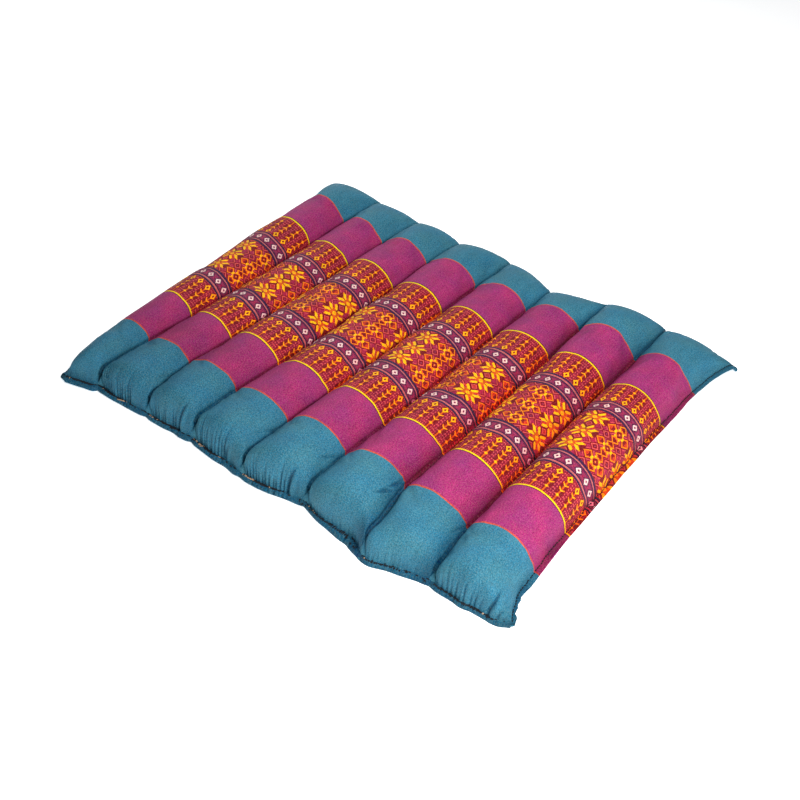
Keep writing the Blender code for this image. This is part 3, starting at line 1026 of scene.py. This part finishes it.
# The woven pattern, thread by thread, for places x and y of the cloth in stitches.
def patternColour(tree, x, y):
    column, row = snap(tree, x), snap(tree, y)
    starColumn = foldThread(tree, column, cloth["starRepeat"])
    starRow = foldThread(tree, row, cloth["rowRepeat"])
    stalkColumn = foldThread(tree, column, cloth["stalkRepeat"])
    centre = paintMotifs(tree, yarn("ground"), centreMotifs, starColumn, starRow)
    stalkRow = calc(tree, "SUBTRACT", cloth["stalkTop"], row)
    wavy = calc(tree, "MULTIPLY_ADD", sineOf(tree, stalkRow, cloth["wave"]), 0.5, stalkColumn)
    stalk = yarn("wine")
    dashes = calc(tree, "GREATER_THAN", sineOf(tree, stalkRow, cloth["wave"] / 2.0), -0.4)
    for low, high in cloth["waveLines"]:
        line = times(tree, inside(tree, wavy, low, high), dashes)
        stalk = blendColours(tree, line, stalk, yarn("salmon"))
    stalk = paintMotifs(tree, stalk, stalkMotifs, stalkColumn, stalkRow)
    borderRow = calc(tree, "SUBTRACT", cloth["borderTop"], row)
    border = paintMotifs(tree, yarn("navy"), borderMotifs, stalkColumn, borderRow)
    colour = centre
    for edge, following in (
        ("centreEdge", border), ("borderEdge", stalk), ("stalkEdge", "line"), ("yellowEdge", "fringe"),
        ("fringeEdge", "magenta"), ("magentaEdge", "orangeRed"), ("tealEdge", "teal"),
    ):
        following = yarn(following) if isinstance(following, str) else following
        colour = blendColours(tree, calc(tree, "GREATER_THAN", y, cloth[edge]), colour, following)
    return colour, combine(tree, column, row)


def clothMaterial():
    material, tree, shader = startMaterial("wovenCotton")
    uv = addNode(tree, "UVMap", uv_map="cloth").outputs[0]
    apart = addNode(tree, "SeparateXYZ", {0: uv})
    x = calc(tree, "DIVIDE", apart.outputs[0], cloth["stitchAcross"] * mm)
    y = calc(tree, "ABSOLUTE", calc(tree, "DIVIDE", apart.outputs[1], cloth["stitchAlong"] * mm))
    colour, thread = patternColour(tree, x, y)

    single = addNode(tree, "TexWhiteNoise", {"Vector": thread}, noise_dimensions="2D").outputs[0]
    flecks = noiseAt(tree, uv, 700.0, 2.0, (1.0, 0.6, 1.0))
    streaks = noiseAt(tree, uv, 260.0, 2.0, (1.0, 0.12, 1.0))
    mottling = noiseAt(tree, uv, 60.0, 3.0)
    # Painted shade: a point attribute darkens and tints the colour towards the shade tints.
    dustAndShade = addNode(tree, "Attribute", attribute_name="dustAndShade").outputs["Fac"]
    onPlain = calc(tree, "GREATER_THAN", y, cloth["yellowEdge"])
    onTeal = calc(tree, "GREATER_THAN", y, cloth["tealEdge"])
    shadeTint = blendColours(tree, onPlain, cloth["patternShadeTint"], cloth["warmShadeTint"])
    shadeTint = blendColours(tree, onTeal, shadeTint, cloth["tealShadeTint"])
    colour = blendColours(tree, dustAndShade, colour, blendColours(tree, 1.0, colour, shadeTint, "MULTIPLY"))
    slow = noiseAt(tree, uv, cloth["castScale"], 3.0)
    cast = blendColours(tree, slow, cloth["coolCast"], cloth["warmCast"])
    colour = blendColours(tree, 1.0, colour, cast, "MULTIPLY")
    shade = 1.0
    grains = ((single, "threads"), (flecks, "flecks"), (streaks, "mottling"), (mottling, "mottling"))
    for grain, name in grains:
        about = calc(tree, "MULTIPLY_ADD", grain, 2.0 * cloth[name], 1.0 - cloth[name])
        shade = times(tree, about, shade)
    shaded = vectorCalc(tree, "MULTIPLY", colour, combine(tree, shade, shade, shade))
    fibres = calc(tree, "SUBTRACT", noiseAt(tree, uv, 900.0, 1.0), 0.5)
    fibres = times(tree, fibres, cloth["pale"])
    blueFibres = times(tree, fibres, 0.5)
    shaded = vectorCalc(tree, "ADD", shaded, combine(tree, fibres, fibres, blueFibres))

    crossing = times(tree, sineOf(tree, x, 1.0), sineOf(tree, y, 1.0))
    weave = calc(tree, "MULTIPLY_ADD", crossing, 0.5, flecks)
    bump = {"Strength": cloth["weaveStrength"], "Distance": cloth["weaveHeight"] * mm, "Height": weave}
    setInputs(tree, shader, {
        "Base Color": vectorCalc(tree, "MAXIMUM", shaded),
        "Normal": addNode(tree, "Bump", bump).outputs[0],
        "Roughness": calc(tree, "MULTIPLY_ADD", flecks, *cloth["rough"]),
        "Specular IOR Level": cloth["specular"],
    })
    return material


# Sewing thread: two plies that show as slanting bands along each stitch, with painted shade in the
# grooves between them, a little dust on top.
def threadMaterial(name, colour):
    material, tree, shader = startMaterial(name)
    places = addNode(tree, "TexCoord").outputs["Object"]
    bands = {"Vector": places, "Scale": 900.0, "Distortion": 0.6}
    plies = addNode(tree, "TexWave", bands, bands_direction="DIAGONAL").outputs["Fac"]
    plyGrooveShade = tuple(0.55 * c for c in toLinear(colour)[:3]) + (1.0,)
    mixed = blendColours(tree, plies, plyGrooveShade, toLinear(colour))
    dustyAndShaded = times(tree, noiseAt(tree, places, 300.0), 0.25)
    mixed = blendColours(tree, dustyAndShaded, mixed, toLinear(stitching["dustAndShade"]))
    setInputs(tree, shader, {"Base Color": mixed, "Roughness": 0.8, "Specular IOR Level": 0.15})
    return material


def floorMaterial():
    material, tree, shader = startMaterial("paleFloor")
    setInputs(tree, shader, {
        "Base Color": studio["floor"],
        "Emission Color": (1.0, 1.0, 1.0, 1.0),
        "Emission Strength": studio["floorGlow"],
        "Roughness": 0.9,
    })
    return material


topForm, bottomForm = coverForms()
places = clothPlaces(topForm)
relief = coverRelief(topForm)
# Painted shade on the cover: in the channels, creases, at the ends and over some front thirds.
dustAndShade = coverPaintedShade(topForm, relief)
lowered = cushion["grooveDepth"] * channelBand(topForm, cushion["grooveReach"])
lowered = lowered * ease(np.minimum(*coverLengths(topForm)[3:]) / cushion["grooveStart"])
bottomForm[..., 2] -= lowered
bottomForm[..., 2] = np.maximum(bottomForm[..., 2], 0.0)
topForm = topForm + clothWrinkles(topForm) + gridNormals(topForm) * relief[..., None]
points, quads, fans, uv, upper = buildCover(topForm, bottomForm, places)
stuffedCover = newMesh("stuffedCover", points + tableShift, quads, fans)
layer = stuffedCover.data.uv_layers.new(name="cloth")
layer.data.foreach_set("uv", (uv * mm).astype(np.float32).ravel())
# The lip gets painted shade as well, and the result is stored as a point attribute for the material.
shadeOnLip = np.pad(np.zeros(dustAndShade.shape), ringCount, constant_values=paintedShadeRules["onHem"])
dustAndShade = 1.0 - (1.0 - np.pad(dustAndShade, ringCount, mode="edge").ravel()) * (1.0 - shadeOnLip.ravel())
dustyAndShaded = stuffedCover.data.attributes.new("dustAndShade", "FLOAT", "POINT")
dustyAndShaded.data.foreach_set("value", np.append(dustAndShade, np.zeros(len(points) - len(dustAndShade))).astype(np.float32))
stuffedCover.data.materials.append(clothMaterial())
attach(stuffedCover, "root")
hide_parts("cushion")
print("stuffed cover:", len(points), "points,", 2 * len(quads) + len(fans), "triangles")

hemFrom, hemTo = hemStitches(upper)
overFrom, overTo, isPale = overcastStitches(upper)
channelFrom, channelTo = channelStitches(upper)
darkFrom = np.concatenate([hemFrom, overFrom[~isPale]])
darkTo = np.concatenate([hemTo, overTo[~isPale]])
radii = stitching["hemRadius"], stitching["overcastRadius"]
darkRadius = np.repeat(radii, (len(hemFrom), len(darkFrom) - len(hemFrom)))
for name, first, last, radius, colour in (
    ("hemThread", darkFrom, darkTo, darkRadius, "thread"),
    ("hemPaleThread", overFrom[isPale], overTo[isPale], stitching["overcastRadius"], "paleThread"),
    ("channelThread", channelFrom, channelTo, stitching["channelRadius"], "channelThread"),
):
    threads = stitchTubes(name, first + tableShift, last + tableShift, radius)
    threads.data.materials.append(threadMaterial(name, stitching[colour]))
    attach(threads, "root")
    print(name + ":", len(first), "stitches")


studio = {
    "focal": 1058.9 * 36.0 / 800.0,
    "azimuth": 32.83,
    "elevation": 39.19,
    "roll": 5.92,
    "distance": 987.2,
    "target": (43.5, -56.6, 20.0),
    "key": ((0.52, -0.28, 0.72), 0.45, 9.2, (1.0, 0.98, 0.95)),  # place, size, power and colour
    "fill": ((-0.80, 0.70, 0.60), 0.80, 5.8, (0.96, 0.98, 1.0)),
    "sky": (0.90, 0.95, 1.0, 1.0),
    "skyStrength": 0.18,
    "floor": (0.93, 0.93, 0.93, 1.0),
    "floorGlow": 0.68,
    "floorHalf": 4.0,
}


# Camera looking at a target from an azimuth and elevation, rolled about its own axis.
def addCamera():
    azimuth, elevation, roll = (math.radians(studio[k]) for k in ("azimuth", "elevation", "roll"))
    level = math.cos(elevation)
    back = Vector((math.sin(azimuth) * level, -math.cos(azimuth) * level, math.sin(elevation)))
    right = Vector((0.0, 0.0, 1.0)).cross(back).normalized()
    up = back.cross(right)
    rolledRight = right * math.cos(roll) + up * math.sin(roll)
    rolledUp = up * math.cos(roll) - right * math.sin(roll)
    target = Vector(tuple((np.array(studio["target"]) + tableShift) * mm))
    data = bpy.data.cameras.new("photoCamera")
    data.lens = studio["focal"]
    data.clip_start, data.clip_end = 0.05, 20.0
    camera = bpy.data.objects.new("photoCamera", data)
    turn = Matrix((rolledRight, rolledUp, back)).transposed().to_4x4()
    camera.matrix_world = Matrix.Translation(target + back * studio["distance"] * mm) @ turn
    bpy.context.scene.collection.objects.link(camera)
    bpy.context.scene.camera = camera


def addLight(name):
    place, size, power, colour = studio[name]
    data = bpy.data.lights.new(name, "AREA")
    data.shape = "DISK"
    data.size = size
    data.energy = power
    data.color = colour
    light = bpy.data.objects.new(name, data)
    light.location = place
    light.rotation_euler = (-Vector(place)).to_track_quat("-Z", "Y").to_euler()
    bpy.context.scene.collection.objects.link(light)


def addFloor():
    half = studio["floorHalf"] / mm
    corners = np.array(((-half, -half, 0.0), (half, -half, 0.0), (half, half, 0.0), (-half, half, 0.0)))
    floor = newMesh("floor", corners, np.array(((0, 1, 2, 3),)))
    floor.data.materials.append(floorMaterial())


addCamera()
addFloor()
addLight("key")
addLight("fill")
world = bpy.data.worlds.new("studio")
world.use_nodes = True
sky = world.node_tree.nodes["Background"]
setInputs(world.node_tree, sky, {0: studio["sky"], 1: studio["skyStrength"]})
bpy.context.scene.world = world
bpy.context.scene.view_settings.view_transform = "Standard"
